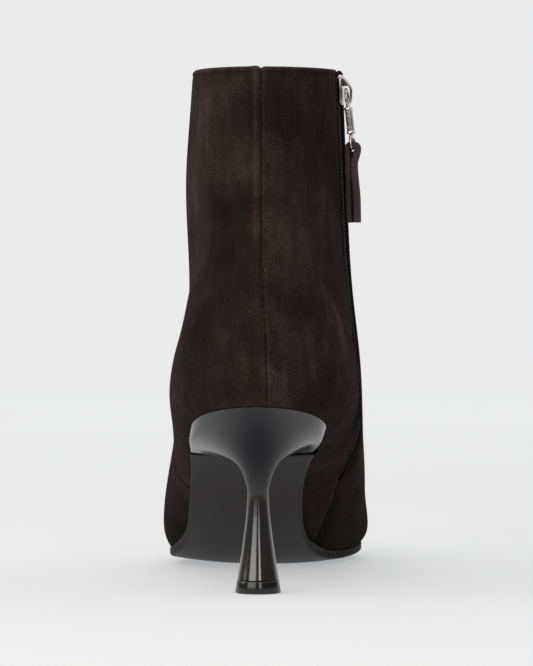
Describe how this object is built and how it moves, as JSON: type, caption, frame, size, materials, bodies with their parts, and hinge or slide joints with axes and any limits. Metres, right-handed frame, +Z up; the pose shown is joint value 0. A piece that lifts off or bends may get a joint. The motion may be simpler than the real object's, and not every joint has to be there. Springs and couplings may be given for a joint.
{
  "type": "ankle boot",
  "caption": "Left ankle boot in suede with an inner side zip, a flared heel and a thin smooth sole; a hollow upper open at the collar.",
  "frame": {"origin": "on the floor under the middle of the boot's bounding box", "axes": "+Y from the heel to the toe, +Z up, +X towards the inner side of the left foot"},
  "size_m": [0.0772, 0.2456, 0.1846],
  "materials": {
    "suede": "matt nap",
    "sole": "gloss",
    "lining": "matt",
    "heel": "gloss",
    "lift": "satin",
    "tape": "woven",
    "hardware": "polished"
  },
  "bodies": {
    "boot": {"upper": "suede", "outsole": "sole", "insole": "lining", "heel": "heel", "heel_top_lift": "lift", "zip_tape": "tape", "zip_chain": "tape", "zip_slider": "hardware"},
    "pull": {"zip_pull": "hardware", "zip_pull_tab": "suede"}
  },
  "joints": [
    {"name": "pull_swing", "type": "hinge", "parent": "boot", "child": "pull", "pos_m": [0.03158, -0.08226, 0.17746], "axis": [-0.1711, -0.9852, 0], "range_deg": [0, 150]}
  ]
}
